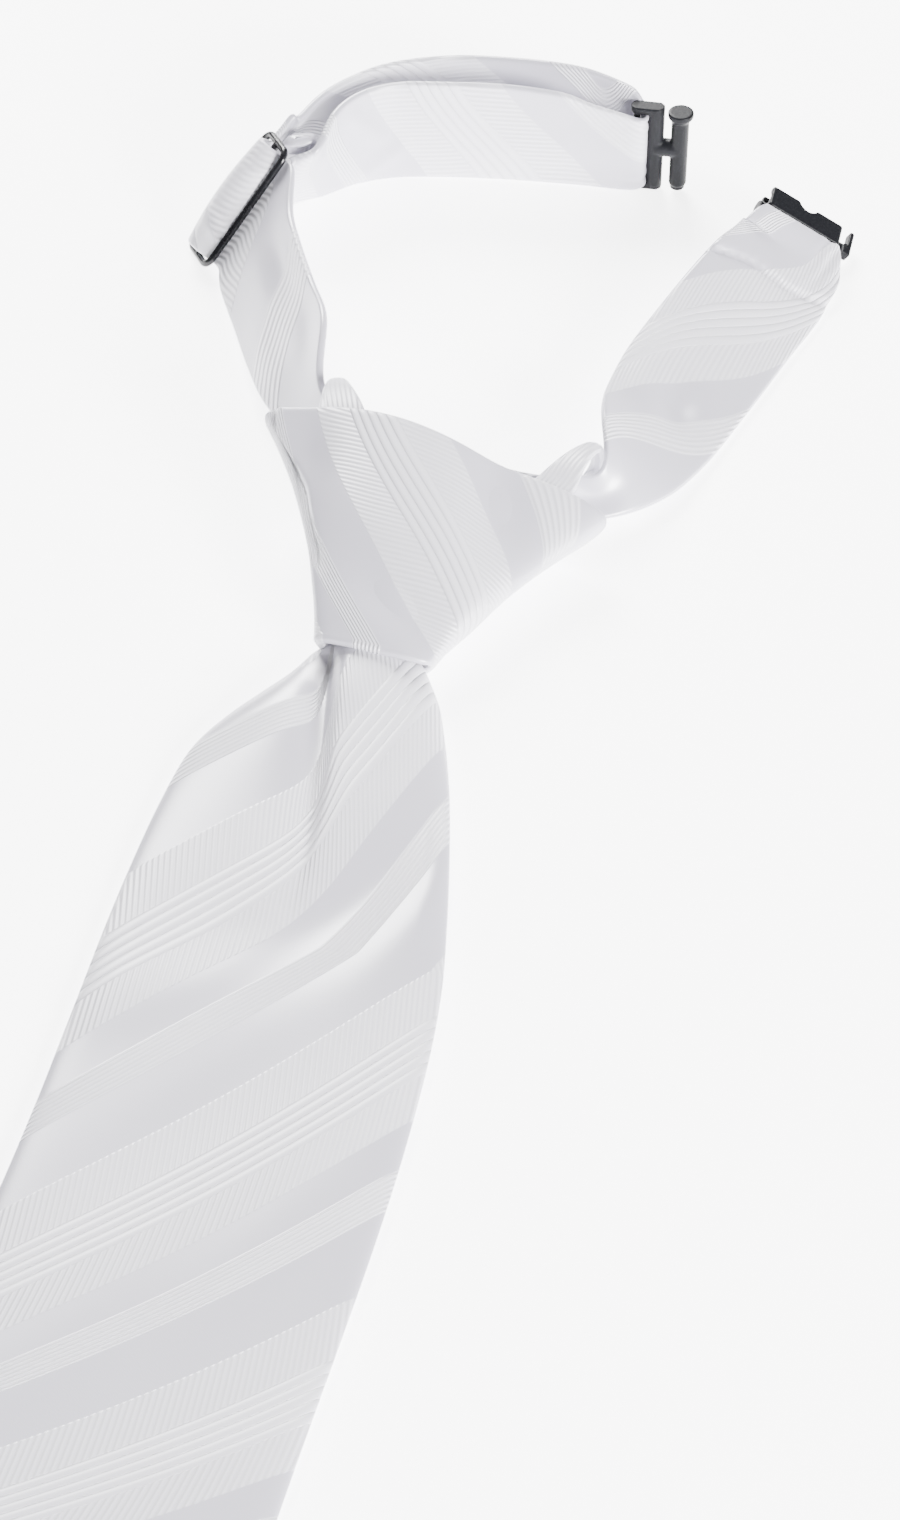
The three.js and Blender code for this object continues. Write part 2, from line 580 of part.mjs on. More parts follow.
function bladeSection({ y, left, right, under, over, dent }) {
  const middle = (left + right) / 2;
  const half = (right - left) / 2;
  const height = over - under;
  const edge = Math.min(BLADE_THICK, height) / 2;
  const count = 10;
  const across = (k) => -Math.cos((k * Math.PI) / count);
  const top = [];
  const bottom = [];
  for (let k = 0; k <= count; k++) {
    const s = across(k);
    const flat = Math.sqrt(Math.max(1 - s ** 8, 0));
    const hump = (height - 2 * edge) * (1 - s * s);
    const groove = dent * Math.exp(-(((s + 0.28) / 0.2) ** 2));
    top.push(vec(middle + half * s, y, under + edge + edge * flat + hump - groove));
    if (k > 0 && k < count) bottom.push(vec(middle + half * s, y, under + edge - edge * flat));
  }
  return [...top, ...bottom.reverse()];
}

function blade() {
  const upper = smoothRows(bladeRows, 2);
  const end = [0, 0.5, 0.97].map((t) => ({ y: BLADE_CORNER_Y, narrow: 1 - t }));
  const lower = end.map(({ narrow }) => ({
    y: BLADE_CORNER_Y + (BLADE_TIP_Y - BLADE_CORNER_Y) * (1 - narrow),
    left: -BLADE_HALF_WIDTH * narrow,
    right: BLADE_HALF_WIDTH * narrow,
    under: 0,
    over: BLADE_THICK,
    dent: 0,
  }));
  return loft([...upper, ...lower].map(bladeSection));
}

const necktie = new THREE.Group();
necktie.add(
  named("blade", blade(), silk),
  named("knot_wrap", knotWrap(), silk),
  named("knot_left_turn", strip(leftTurnRows, 3), silk),
  named("knot_right_turn", strip(rightTurnRows, 3), silk),
  named("neck_strap_left", leftStrap(), silk),
  named("neck_band_right", rightBand(), silk),
  slider(),
  tbarClasp(),
  channelClasp(),
);

export default necktie;
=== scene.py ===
"""White striped pre-tied necktie lying flat, with its wire slider and its open clasp."""

import math

import bpy
import numpy as np
from mathutils import Matrix, Vector
from numpy.polynomial.polynomial import polyder, polyval2d


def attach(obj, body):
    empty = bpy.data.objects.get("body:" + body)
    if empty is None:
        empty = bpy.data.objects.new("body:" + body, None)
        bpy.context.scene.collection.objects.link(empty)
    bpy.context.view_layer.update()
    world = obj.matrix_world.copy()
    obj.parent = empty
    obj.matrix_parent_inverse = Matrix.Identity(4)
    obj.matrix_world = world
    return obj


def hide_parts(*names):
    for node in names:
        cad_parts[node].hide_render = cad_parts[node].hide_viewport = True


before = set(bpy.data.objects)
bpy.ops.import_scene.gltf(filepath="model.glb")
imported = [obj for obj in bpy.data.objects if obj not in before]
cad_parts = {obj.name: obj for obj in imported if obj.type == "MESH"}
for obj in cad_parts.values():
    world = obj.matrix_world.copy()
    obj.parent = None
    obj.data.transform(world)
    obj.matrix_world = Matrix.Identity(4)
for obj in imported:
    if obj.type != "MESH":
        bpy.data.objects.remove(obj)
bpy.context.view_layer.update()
bpy.ops.object.select_all(action="DESELECT")

MM = 0.001

# Sizes in mm
WRAP_THICK = 2.2
TURN_THICK = 2.0
SLIDER_CLOTH = 1.4
BAR_CLOTH = 1.3
CHANNEL_CLOTH = 1.2
LEAST_HEIGHT = 0.02
WIRE = 1.7
SLIDER_LENGTH = 31
SLIDER_SPACING = 6.0
CLASP_LENGTH = 22.0
FLANGE_THICK = 1.7
FLANGE_WIDTH = 3.5
STRAP_BAR = 1.6
BAR_REACH = 4.4
PIN_REACH = 5.5
CHANNEL_REACH = 5.7
CHANNEL_BORE = 4.0
CHANNEL_WALL = 0.9
COLUMN_RADIUS = 1.9
CROSSBAR_RADIUS = 2.1
PIN_RADIUS = 2.0
PIN_END_RADIUS = 1.65
PIN_HEAD_RADIUS = 2.9


# Camera, at the place the photo was taken from

def set_camera():
    lens = bpy.data.cameras.new("photo_camera")
    lens.lens = 85
    lens.sensor_width = 36
    lens.clip_start = 0.01
    camera = bpy.data.objects.new("photo_camera", lens)
    camera.location = (0.1438, -0.4250, 0.5000)
    camera.rotation_euler = (math.radians(44), 0, math.radians(15.6))
    bpy.context.scene.collection.objects.link(camera)
    bpy.context.scene.camera = camera


# Tables to smooth rows

def curve_between(a, b, c, d, u):
    """The place u of the way from b to c on a smooth curve through a, b, c and d."""
    even = 2 * b + (c - a) * u + (2 * a - 5 * b + 4 * c - d) * u * u
    return 0.5 * (even + (3 * b - a - 3 * c + d) * u**3)


def smooth_rows(table, spacing):
    """Rows on a smooth curve through the table's rows, about spacing apart by their first three columns."""
    rows = np.asarray(table, float)
    last = len(rows) - 1
    out = []
    for i in range(last):
        near = [rows[min(max(i + k, 0), last)] for k in (-1, 0, 1, 2)]
        steps = max(2, round(float(np.linalg.norm((near[2] - near[1])[:3])) / spacing))
        out += [curve_between(*near, k / steps) for k in range(steps)]
    out.append(rows[-1])
    return np.array(out)


def smooth_ring(table, steps):
    """Rows on a smooth closed curve through the table's rows, with so many steps from each to the next."""
    rows = np.asarray(table, float)
    out = []
    for i in range(len(rows)):
        near = [rows[(i + k) % len(rows)] for k in (-1, 0, 1, 2)]
        out += [curve_between(*near, k / steps) for k in range(steps)]
    return np.array(out)


def relaxed(rows, times, closed=False):
    """Rows with their small kinks evened out. The ends of an open run stay."""
    rows = rows.copy()
    for _ in range(times):
        if closed:
            rows = 0.5 * rows + 0.25 * (np.roll(rows, 1, 0) + np.roll(rows, -1, 0))
        else:
            rows[1:-1] = 0.5 * rows[1:-1] + 0.25 * (rows[:-2] + rows[2:])
    return rows


def unit(v):
    return v / np.maximum(np.linalg.norm(v, axis=-1, keepdims=True), 1e-9)


def run_length(points):
    """Distance along a row of points, starting at 0."""
    steps = np.linalg.norm(np.diff(points, axis=0), axis=-1)
    return np.concatenate([np.zeros((1,) + steps.shape[1:]), np.cumsum(steps, 0)])


# Cloth meshes

def cloth_mesh(name, rings, weave, closed=False):
    """A closed body from rings of points in mm.

    weave is where each point lies in the flat cloth, in mm. It has one more column than the rings,
    for the far side of the seam, and one more row when the rings close on themselves.
    """
    n, m = rings.shape[:2]
    row = np.arange(n if closed else n - 1)[:, None]
    column = np.arange(m)[None, :]
    corners = ((0, 0), (0, 1), (1, 1), (1, 0))
    quads = np.stack([(row + r) % n * m + (column + c) % m for r, c in corners], -1).reshape(-1, 4)
    flat = np.stack([weave[row + r, column + c] for r, c in corners], 2).reshape(-1, 4, 2)
    points = rings.reshape(-1, 3) * MM
    a, b, c, d = (points[quads[:, k]] - points.mean(0) for k in range(4))
    volume = (a * np.cross(b, c)).sum() + (a * np.cross(c, d)).sum()
    first, last = list(range(m))[::-1], list(range((n - 1) * m, n * m))
    if volume < 0:
        quads, flat = quads[:, ::-1], flat[:, ::-1]
        first, last = first[::-1], last[::-1]
    faces = quads.tolist()
    places = flat.reshape(-1, 2)
    if not closed:
        faces += [first, last]
        places = np.concatenate([places, weave[0, first], weave[n - 1, np.array(last) - (n - 1) * m]])
    mesh = bpy.data.meshes.new(name)
    mesh.from_pydata(points.tolist(), [], faces)
    layer = mesh.uv_layers.new(name="weave")
    layer.data.foreach_set("uv", (places * MM).astype(np.float32).ravel())
    mesh.polygons.foreach_set("use_smooth", [True] * len(mesh.polygons))
    mesh.update()
    piece = bpy.data.objects.new(name, mesh)
    bpy.context.scene.collection.objects.link(piece)
    return piece


def finish_cloth(piece, node, silk):
    piece.data.materials.append(silk)
    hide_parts(node)
    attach(piece, "root")


def folded_outline(width, thick, seam):
    """Outlines of a flat folded strip, from its seam all round and back to it, as across, out and girth.

    seam is the side that the seam lies on: -1 below, 1 above. Girth is 0 in the middle of the other side.
    """
    side = np.linspace(0, 1, 15)
    front = np.linspace(1, -1, 29)
    turn = np.radians(np.linspace(-90, 90, 8)[1:-1])
    reach = (width / 2 - thick / 2)[:, None]
    half = (thick / 2)[:, None]
    back = [reach * side, -half * (1.1 - 0.1 * side**2)]
    edge = [half * np.cos(turn), half * np.sin(turn)]
    across = np.concatenate([back[0], reach + edge[0], reach * front, -reach - edge[0], -back[0][:, ::-1]], 1)
    out = np.concatenate([back[1], edge[1], half * (1.1 - 0.1 * front**2), -edge[1], back[1][:, ::-1]], 1)
    steps = np.hypot(np.diff(across, axis=1), np.diff(out, axis=1))
    girth = np.concatenate([0 * reach, np.cumsum(steps, 1)], 1)
    girth = (girth - girth[:, -1:] / 2) * -seam
    return across, out * -seam, girth


def stripe_place(along, girth, plan, alongs, girths):
    """How far across the stripes a place lies, in mm: a bent sheet of stripes, straight outside its ranges.

    plan has a row for each power of the length, in 100 mm, and a column for each power of the girth, in 10 mm.
    """
    table = np.array(plan)
    a, g = np.clip(along, *alongs), np.clip(girth, *girths)
    u, v = a / 100, g / 10
    run = polyval2d(u, v, polyder(table, axis=0)) / 100
    round_it = polyval2d(u, v, polyder(table, axis=1)) / 10
    return polyval2d(u, v, table) + run * (along - a) + round_it * (girth - g)


def in_weave(over, along, girth, grain):
    """Places in the cloth's stripe frame: across the stripes, then along them."""
    lengthways = grain[1] * along - grain[0] * girth
    return np.stack([over, lengthways + 0 * over], -1)


def eased(x, low, high):
    """0 below low, 1 above high, smooth between."""
    t = np.clip((x - low) / (high - low), 0, 1)
    return t * t * (3 - 2 * t)


def cloth_strip(name, stations, stripes, grain, seam=-1, relief=None, spacing=1.0, calm=2):
    """A folded strap. Stations are centre, width direction, width and thickness, in mm."""
    rows = relaxed(smooth_rows(stations, spacing), calm)
    centre = rows[:, :3]
    across_way = unit(rows[:, 3:6])
    out_way = unit(np.cross(across_way, np.gradient(centre, axis=0)))
    across, out, girth = folded_outline(rows[:, 6], rows[:, 7], seam)
    along = run_length(centre)[:, None] + 0 * across
    if relief is not None:
        out = out + relief(along, across, out)
    rings = centre[:, None] + across_way[:, None] * across[..., None] + out_way[:, None] * out[..., None]
    rings[..., 2] = np.maximum(rings[..., 2], LEAST_HEIGHT)
    return cloth_mesh(name, rings[:, :-1], in_weave(stripes(along, girth), along, girth, grain))


def ridge(along, across, start, end, width, height):
    """A soft fold from start to end, each (along, across), that fades out at both ends."""
    p = np.array(start, float)
    d = np.array(end, float) - p
    length = float(np.hypot(*d))
    d = d / length
    x, y = along - p[0], across - p[1]
    run = (x * d[0] + y * d[1]) / length
    off = -x * d[1] + y * d[0]
    fade = np.clip(np.minimum(run, 1 - run) * 3 + 0.35, 0, 1)
    fade = fade * fade * (3 - 2 * fade)
    return height * fade * np.exp(-((off / width) ** 2))


def dented(x, y, dents):
    """Depth of soft oval dents at the places x, y."""
    total = 0 * x
    for middle_x, middle_y, length, width, turn, depth in dents:
        c, s = math.cos(math.radians(turn)), math.sin(math.radians(turn))
        dx, dy = x - middle_x, y - middle_y
        total = total + depth * np.exp(-(((dx * c + dy * s) / length) ** 2) - ((dy * c - dx * s) / width) ** 2)
    return total


def standing_run(rows, turn):
    """Rows x, y, lift, lean, width and thickness of a strap on its edge, as stations.

    It leans to the right of its travel at turn 1, and to the left at -1.
    """
    rows = np.array(rows, float)
    plan = np.gradient(rows[:, :2], axis=0)
    plan[1:-1] = rows[2:, :2] - rows[:-2, :2]
    plan = unit(plan)
    lean = np.radians(rows[:, 3])
    width, thick = rows[:, 4], rows[:, 5]
    z = rows[:, 2] + thick / 2 + (width / 2 - thick / 2) * np.cos(lean)
    way = np.stack([turn * plan[:, 1] * np.sin(lean), -turn * plan[:, 0] * np.sin(lean), np.cos(lean)], -1)
    return np.column_stack([rows[:, :2], z, way, width, thick])


class Place:
    """A frame of three unit directions that hardware and the cloth round it share."""

    def __init__(self, origin, across, along):
        self.origin = np.array(origin, float)
        self.across = unit(np.array(across, float))
        along = np.array(along, float)
        self.along = unit(along - self.across * (along @ self.across))
        self.out = unit(np.cross(self.across, self.along))

    def station(self, along, out, width, thick, shift=0.0):
        centre = self.origin + self.along * along + self.out * out + self.across * shift
        return [*centre, *self.across, width, thick]

    def matrix(self):
        """Local X runs along, local Y across."""
        third = np.cross(self.along, self.across)
        rows = np.column_stack([self.along, self.across, third, self.origin * MM])
        return Matrix([*rows.tolist(), [0, 0, 0, 1]])


SLIDER_PLACE = Place((-74.7, 182.4, 12.8), (0.47, 0.5, 0.726), (-0.54, 0.8, -0.12))
TBAR_TURN = math.radians(6)
TBAR_WAY = (math.cos(TBAR_TURN), math.sin(TBAR_TURN), 0)
TBAR_PLACE = Place((5.3, 227.7, CLASP_LENGTH / 2 + 0.5), (0, 0, 1), TBAR_WAY)
CHANNEL_PLACE = Place((46.7, 207.2, 8.2), (-0.83, -0.1, 0.5), (0.12, 1, 0.06))


# The left strap

# x, y, lift, lean in degrees, width, thickness
LEFT_ROWS = [
    (-4.2, 111, 3.6, 2, 12, 1.8), (-14, 111.2, 3.6, 2, 12.6, 1.8), (-23, 111.6, 3.7, 3, 13, 1.8),
    (-31, 113, 3.9, 8, 14, 1.8), (-38, 118.4, 4, 18, 16.6, 1.8), (-44.8, 130, 3.4, 31, 25.2, 1.8),
    (-52, 142.5, 1.6, 34, 26, 1.8), (-59.4, 155.8, 0.6, 35, 26, 1.8), (-66, 168.4, 0.4, 39, 26, 1.8),
]
# Centre, width direction, width and thickness, where the strap leaves the slider
EXIT_STATIONS = [
    (-74.4, 194, 12.2, 0.47, 0.27, 0.84, 25.6, 1.5), (-72.2, 199, 12.9, 0.4, 0.11, 0.9, 26, 1.5),
]
# As LEFT_ROWS: the outer run to the T clasp, then the inner run back to the slider
OUTER_ROWS = [
    (-70, 203.6, 0.1, 24, 26, 1.8), (-65.4, 209.8, 0.1, 14, 26, 1.8), (-59.6, 216, 0.1, 6, 26, 1.8),
    (-51, 223.4, 0.1, 1, 26, 1.8), (-38, 229.6, 0.1, 0, 26, 1.8), (-23, 232.6, 0.1, 0, 26, 1.8),
    (-11, 233, 0.1, 0, 26.2, 1.8), (-4.4, 232.4, 0.2, 0, 25.6, 1.6),
]
INNER_ROWS = [
    (-5, 224.6, 0.2, 0, 22.6, 1.5), (-11, 224, 0.1, 0, 24.8, 1.8), (-24, 222, 0.1, 0, 26, 1.8),
    (-38, 219, 0.1, 0, 26, 1.8), (-48, 216, 0.1, 0, 26, 1.8), (-55.6, 210.6, 0.1, 4, 26, 1.8),
    (-60.4, 203, 0.1, 12, 26, 1.8), (-64.4, 195, 0.8, 28, 24, 1.8),
]
# Through the slider, and the folded end round its middle bar: along, out
SLIDER_PASS = [(-8.4, -2.1), (-6.2, -2.1), (-4.5, -1.5), (-3.6, 0), (-3, 1.65), (-1.8, 2.95), (0, 3.5)]
SLIDER_END = [(2.4, -4.4), (0.2, -2.4), (-1.3, -1.35), (-1.85, 0), (-1.15, 1.5), (0.3, 1.84), (1.3, 1.4)]

# Cloth round the two strap bars: along, out, width, shift across
TBAR_TURN_ROWS = [
    (-4, 3.7, 25, 1.4), (-1, 2.9, 23.8, 1.2), (0.9, 2.1, 21, 0.7), (1.75, 0.7, 18.2, 0.1), (1.85, -0.4, 18, 0),
    (2.15, -1.5, 18.4, -0.3), (1.75, -2.4, 19.2, -0.6), (0.2, -2.75, 19.8, -0.8), (-2.6, -2.65, 20.8, -0.6),
]
CHANNEL_TURN_ROWS = [
    (-4, -1.2, 25.6, 0.6), (-2, -2.1, 23.6, 1.1), (-0.2, -2.7, 22.2, 0.9), (1.4, -2.85, 20.8, 0.4),
    (2.35, -2.2, 19.4, 0.1), (1.95, -0.6, 17.6, 0), (1.7, 0.7, 17.4, 0), (0.9, 1.6, 17.4, 0), (-1, 1.9, 17.4, 0),
    (-4, 2.1, 18, 0.6), (-8, 1.9, 18.4, 1.6), (-11.5, 1.7, 18.4, 2.4),
]

# Stripe plans of the strap's three runs
NEAR_PLAN = [[25.5, -3.0, 0, 0], [-30.2, 0, 0, 0], [0, 0, 0, 0], [0, 0, 0, 0]]
OUTER_PLAN = [[84.7, -7.5, 0, 0], [-66, 0, 0, 0], [0, 0, 0, 0], [0, 0, 0, 0]]
INNER_PLAN = [[-117, 4.36, 2.38, 0.33], [60.4, -7.75, -0.9, 0], [2.32, 1.54, 0, 0], [-6.37, 0, 0, 0]]


def left_stripes(along, girth):
    near = stripe_place(along, girth, NEAR_PLAN, (40, 130), (-14, 14))
    outer = stripe_place(along, girth, OUTER_PLAN, (120, 230), (-14, 14))
    inner = stripe_place(along, girth, INNER_PLAN, (226, 310), (-13, 13))
    outer = near + (outer - near) * eased(along, 122, 142)
    return outer + (inner - outer) * eased(along, 214, 228)


def left_relief(along, across, out):
    """Hollows of the band, the puff and wrinkles over the slider, and the gathers at the T clasp."""
    puff = 1.5 * np.exp(-(((along - 111) / 5) ** 2)) * np.clip(1 - (across / 13.5) ** 2, 0, 1)
    wrinkles = ridge(along, across, (103, -13), (112, -7), 0.8, 0.45)
    wrinkles = wrinkles + ridge(along, across, (104, -9), (113, -2), 0.8, 0.4)
    wrinkles = wrinkles + ridge(along, across, (105, 12), (113, 6), 0.8, 0.4)
    hollows = dented(along, across, [(78, 6, 12, 4.5, 0, 1.5), (55, 8, 9, 4, 10, 0.9), (62, -7, 12, 4, 0, -0.5)])
    gathers = 0.3 * np.cos(across * 2.1) * np.exp(-(((along - 229) / 5) ** 2)) * eased(abs(across), 3, 10)
    folds = ridge(along, across, (296, -11), (284, -3), 2, 0.7)
    folds = folds + ridge(along, across, (300, 10), (290, -2), 2.2, 0.8)
    return puff + wrinkles - hollows + gathers + folds


def left_strap(silk):
    inside = SLIDER_LENGTH - WIRE
    passed = [SLIDER_PLACE.station(a, o, inside - 0.8, SLIDER_CLOTH) for a, o in SLIDER_PASS]
    away = [SLIDER_PLACE.station(-a, o, inside - 0.8, SLIDER_CLOTH) for a, o in SLIDER_PASS[1:-1][::-1]]
    folded = [SLIDER_PLACE.station(a, o, inside - 8, BAR_CLOTH) for a, o in SLIDER_END]
    turned = [TBAR_PLACE.station(a, o, w, BAR_CLOTH, shift) for a, o, w, shift in TBAR_TURN_ROWS]
    stations = np.vstack([
        standing_run(LEFT_ROWS, 1), passed, away, EXIT_STATIONS, standing_run(OUTER_ROWS, 1),
        turned, standing_run(INNER_ROWS, -1), folded,
    ])
    strap = cloth_strip("neck_strap_left_cloth", stations, left_stripes, (-0.7, -0.7), relief=left_relief, calm=3)
    finish_cloth(strap, "neck_strap_left", silk)


# Centre, width direction, width and thickness
TAIL_STATIONS = [
    (-67.8, 195, 19.4, 0.1, -0.3, 0.95, 3.4, 2), (-66, 195.5, 19.8, 0.1, -0.3, 0.95, 4.8, 2.4),
    (-64, 196.1, 20.2, 0.05, -0.25, 0.95, 5.2, 2.6), (-62.2, 196.8, 20.6, 0, -0.2, 0.95, 4, 2.2),
    (-60.9, 197.3, 20.9, 0, -0.2, 0.95, 2.2, 1.4),
]


def tail_relief(along, across, out):
    return 0.7 * np.cos(across * 2.8 + along * 0.5) * np.sign(out + 1e-6)


def strap_tail(silk):
    """The gathered end of the left strap, tucked beside the slider."""
    tail = cloth_strip(
        "neck_strap_tail_cloth", TAIL_STATIONS, turn_stripes, TURN_GRAIN, relief=tail_relief, spacing=0.4)
    finish_cloth(tail, "neck_strap_left", silk)


# The right band

# x, y, lift, lean in degrees, width, thickness
RIGHT_ROWS = [
    (-2.6, 111, 3.6, 6, 11, 1.8), (5, 111, 3.6, 26, 8.6, 1.8), (13, 111.4, 3.4, 42, 8.6, 1.8),
    (20, 112.8, 3.1, 46, 9.6, 1.8), (26.8, 115.6, 2.9, 38, 10.4, 1.8), (30, 124, 2.2, 47, 20.6, 1.8),
    (31, 133, 1, 57, 25, 1.8), (31.9, 144, 0.3, 68, 27.4, 1.8), (33.6, 156, 0, 71, 29, 1.8),
    (36.8, 168, 0, 67, 29.2, 1.8), (40.2, 180, 0, 62, 29, 1.8), (43.2, 190, 0, 60, 28.8, 1.8),
    (45.2, 196.4, 0.2, 59, 27.4, 1.6), (46.2, 200.6, 0.8, 58, 26.2, 1.4),
]
RIGHT_PLAN = [[26, -2.43, -3.14, -1.21], [-30.4, 1.85, 2.92, 0], [-12.9, -6.65, 0, 0], [-1.5, 0, 0, 0]]


def right_stripes(along, girth):
    return stripe_place(along, girth, RIGHT_PLAN, (38, 118), (-13, 13))


def right_relief(along, across, out):
    """The stitched hem across the band, its wrinkles, the gathers at the clasp, and soft hollows."""
    hem = 113.6 - 0.05 * across - 0.36 * (across + 8.5) + 0.9 * np.sin(across / 4)
    off = along - hem
    near = eased(along, 96, 104) * (1 - eased(along, 128, 132))
    face = out < 0
    seam = 1.0 * np.exp(-((off / 0.7) ** 2)) - 0.6 * eased(off, 0.3, 1.6) * (1 - eased(off, 6, 15))
    stitches = 0.45 * np.exp(-(((off - 1.6) / 0.5) ** 2)) * (0.5 + 0.5 * np.cos(across * 2 * math.pi / 1.6))
    gathers = 0.4 * np.cos(across * 1.9 + along * 0.5) * eased(-across, 3, 9)
    gathers = gathers * np.exp(-(((along - 123) / 6) ** 2))
    wrinkles = ridge(along, across, (119, 11), (127, 8), 1.2, -0.35)
    hollows = dented(along, across, [(65, -1, 8, 4.5, 20, 2.0), (28, 0, 6, 4, 0, 1.6), (100, 3, 8, 8, 0, -0.6)])
    return (seam + stitches) * near * face + gathers + wrinkles + hollows


def right_band(silk):
    turned = [CHANNEL_PLACE.station(a, o, w, CHANNEL_CLOTH, shift) for a, o, w, shift in CHANNEL_TURN_ROWS]
    stations = np.vstack([standing_run(RIGHT_ROWS, -1), turned])
    band = cloth_strip(
        "neck_band_right_cloth", stations, right_stripes, (-0.6, -0.75), seam=1, relief=right_relief)
    finish_cloth(band, "neck_band_right", silk)


# The knot

# Round the knot: a point on its lower edge, one on its upper edge, and how far the cloth bows out between
WRAP_ROWS = [
    (-6, 62, 0, -5, 98, 0, 0), (-13, 61.5, 0, -22, 98, 0, 0), (-16, 60, 1.2, -30, 99.4, 2, -1),
    (-18, 58.6, 4.8, -37, 101.4, 11, -2.4), (-18.8, 57.4, 8.4, -43.4, 103, 22.4, -3.4),
    (-16.8, 56.6, 10.6, -37.6, 103.4, 25.8, -0.4), (-11, 56, 11.5, -25, 103.4, 28.2, 1.2),
    (-5, 55.6, 11.6, -12, 103.4, 27.6, 1.6), (1, 55.8, 11.2, 4, 103.4, 22.4, 1.4),
    (5.6, 56.8, 9.4, 19.5, 103.4, 17, 0.4), (6.4, 58.6, 6, 29.2, 103.2, 11.6, -1.6),
    (4.6, 59.6, 2.8, 25.4, 101.4, 5, -2), (2.6, 60.8, 0.6, 18, 99, 0.8, -0.8), (-1, 61.6, 0, 8, 98, 0, 0),
]
FRONT_ROW = 7
WRAP_PLAN = [[8.5, -9.46, -0.41, -0.15], [72.3, 5.33, -1.58, 0], [-21, -1.33, 0, 0], [-1.3, 0, 0, 0]]

# Soft dents of the knot: height and girth of the middle, half length, half width, turn in degrees, depth
WRAP_DENTS = [
    (44, 21, 9, 6, 20, 1.8),
    (12, -2.5, 14, 7, 60, 2.6),
    (41, -22, 12, 7.5, 10, 2.5),
    (27, 14, 10, 7, 0, -0.6),
    (24, -14, 14, 6, 30, -0.6),
]

# The fold that runs down the knot's left side: height and girth
WRAP_FOLD = [(15, 14.2), (19.3, 15.3), (25.7, 17.6), (34.3, 20.4), (40.5, 24), (44.6, 26.8), (49, 29.6)]


def knot_wrap(silk):
    steps, levels = 12, 52
    rows = relaxed(smooth_ring(WRAP_ROWS, steps), 3, closed=True)
    v = np.linspace(0, 1, levels)[:, None]
    low, high, bow = rows[None, :, :3], rows[None, :, 3:6], rows[None, :, 6]
    skin = low + (high - low) * v[..., None]
    middle = np.stack([-6 + v, 0 * v, 5.5 + 6.5 * v], -1)
    radial = skin - middle
    radial[..., 1] = 0
    push = bow * 4 * v * (1 - v)
    skin = skin + unit(radial) * push[..., None]
    skin[..., 2] = np.maximum(skin[..., 2], 0)
    side = np.roll(skin, -1, 1) - np.roll(skin, 1, 1)
    inward = unit(np.stack([side[..., 2], 0 * side[..., 1], -side[..., 0]], -1))
    around = np.linalg.norm(np.roll(skin, -1, 1) - skin, axis=-1)
    front = FRONT_ROW * steps
    place = np.concatenate([np.zeros((levels, 1)), np.cumsum(around, 1)], 1)
    place = place - place[:, front:front + 1]
    height = run_length(skin)
    height = np.concatenate([height, height[:, :1]], 1)
    over = stripe_place(height, -place, WRAP_PLAN, (-2, 53), (-42, 27))
    fold = np.array(WRAP_FOLD)
    off = -place - np.interp(height, fold[:, 0], fold[:, 1])
    folded = eased(height, 12, 22) * (1 - eased(-place, 36, 40))
    over = np.where((off > 0) & (off < 6) & (height > 16), 3.6 + 1.1 * off, over)
    flat = in_weave(over, height, -place, (0.6, -0.8))
    side_step = np.where(off > 0, np.exp(-((off / 4) ** 2)), np.exp(-((off / 0.7) ** 2)))
    depth = (dented(height, -place, WRAP_DENTS) + 1.1 * side_step * folded)[:, :-1]
    outer, inner = skin + inward * depth[..., None], skin + inward * WRAP_THICK
    rings = [outer[level] for level in range(levels)]
    weave = [flat[level] for level in range(levels)]
    turns = [math.pi * k / 6 for k in range(1, 6)]
    for level, way in ((levels - 1, 1), (0, -1)):
        middle, reach = (outer[level] + inner[level]) / 2, (outer[level] - inner[level]) / 2
        lip = np.array([0, way * WRAP_THICK * 0.45, 0])
        rings += [middle + reach * way * math.cos(t) + lip * math.sin(t) for t in turns]
        weave += [flat[level]] * len(turns)
        if way == 1:
            rings += [inner[back] for back in range(levels - 1, -1, -1)]
            weave += [flat[back] for back in range(levels - 1, -1, -1)]
    weave.append(flat[0])
    wrap = cloth_mesh("knot_wrap_cloth", np.array(rings), np.array(weave), closed=True)
    finish_cloth(wrap, "knot_wrap", silk)


# Over the strap and the band at the knot's top: x, y, z, width
LEFT_TURN_ROWS = [
    (-21.4, 92, 17.6, 11), (-24.4, 99, 20.7, 10.8), (-27.6, 107, 23.4, 9.6), (-31, 115.4, 22.2, 6),
    (-33.4, 122.2, 17.4, 3.2), (-33.8, 123, 9, 3.2), (-30, 116, 2.2, 6.4), (-25, 107, 2, 7.6),
    (-20.6, 99, 4.3, 8.4), (-19.6, 92, 4.9, 8.4),
]
RIGHT_TURN_ROWS = [
    (10, 92, 8.6, 8), (12.8, 99, 10.4, 9.4), (16.4, 107, 12.4, 9.4), (19.4, 115, 14.8, 5.6),
    (22, 122.2, 13, 3.2), (22.2, 123.2, 6.6, 3.2), (19.6, 116.8, 1.8, 6.4), (15, 108, 1.9, 7.6),
    (10.6, 99, 4, 7.6), (9.2, 92, 4.5, 6),
]
TURN_GRAIN = (0.755, 0.174)


def turn_stripes(along, girth):
    return 24.7 + 0.2 * (along - 24) + 0.65 * girth


def knot_turn(name, node, rows, way, silk):
    stations = [(x, y, z, *way, width, TURN_THICK) for x, y, z, width in rows]
    turn = cloth_strip(name, stations, turn_stripes, TURN_GRAIN, spacing=0.7)
    finish_cloth(turn, node, silk)


# The blade

